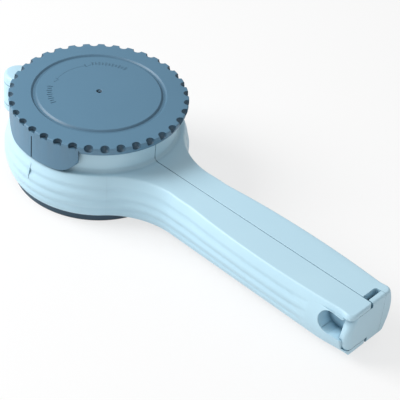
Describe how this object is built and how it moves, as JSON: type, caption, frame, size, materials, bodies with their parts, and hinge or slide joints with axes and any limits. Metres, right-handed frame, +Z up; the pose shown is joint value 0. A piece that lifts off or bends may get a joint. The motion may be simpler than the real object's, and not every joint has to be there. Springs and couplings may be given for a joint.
{
  "type": "pour_spout_bag_clip",
  "caption": "Bag clip with two hinged jaws that close round a pour spout and along a fluted handle, with a twist cap over a side window",
  "frame": {"origin": "on the axis of the pour spout, in the plane of its foot", "axes": "+X along the handle away from the spout, +Y to the rear jaw, +Z up through the twist cap"},
  "size_m": [0.219, 0.0836, 0.0439],
  "materials": {
    "light_blue_plastic": "satin",
    "dusty_blue_plastic": "matte",
    "deep_blue_plastic": "matte",
    "pin_steel": "satin",
    "silicone": "matte"
  },
  "bodies": {
    "front": {"front_jaw": "light_blue_plastic", "pour_spout": "deep_blue_plastic", "hinge_pin": "pin_steel", "spout_band": "silicone"},
    "rear": {"rear_jaw": "light_blue_plastic", "clamp_strip": "silicone"},
    "latch": {"latch_tongue": "light_blue_plastic"},
    "cap": {"twist_cap": "dusty_blue_plastic", "cap_seal": "silicone"}
  },
  "joints": [
    {"name": "jaw_swing", "type": "hinge", "parent": "front", "child": "rear", "pos_m": [-0.0535, 0, 0.0155], "axis": [0, 0, 1], "range_deg": [0, 75], "deforming": ["latch_tongue"]},
    {"name": "latch_flex", "type": "hinge", "parent": "rear", "child": "latch", "pos_m": [0.1585, 0.00803, 0.0155], "axis": [0, 0, 1], "range_deg": [0, 9], "stiffness_Nm_per_rad": 0.05},
    {"name": "cap_turn", "type": "hinge", "parent": "front", "child": "cap", "pos_m": [0, 0, 0.0395], "axis": [0, 0, 1], "range_deg": [0, 56]}
  ]
}
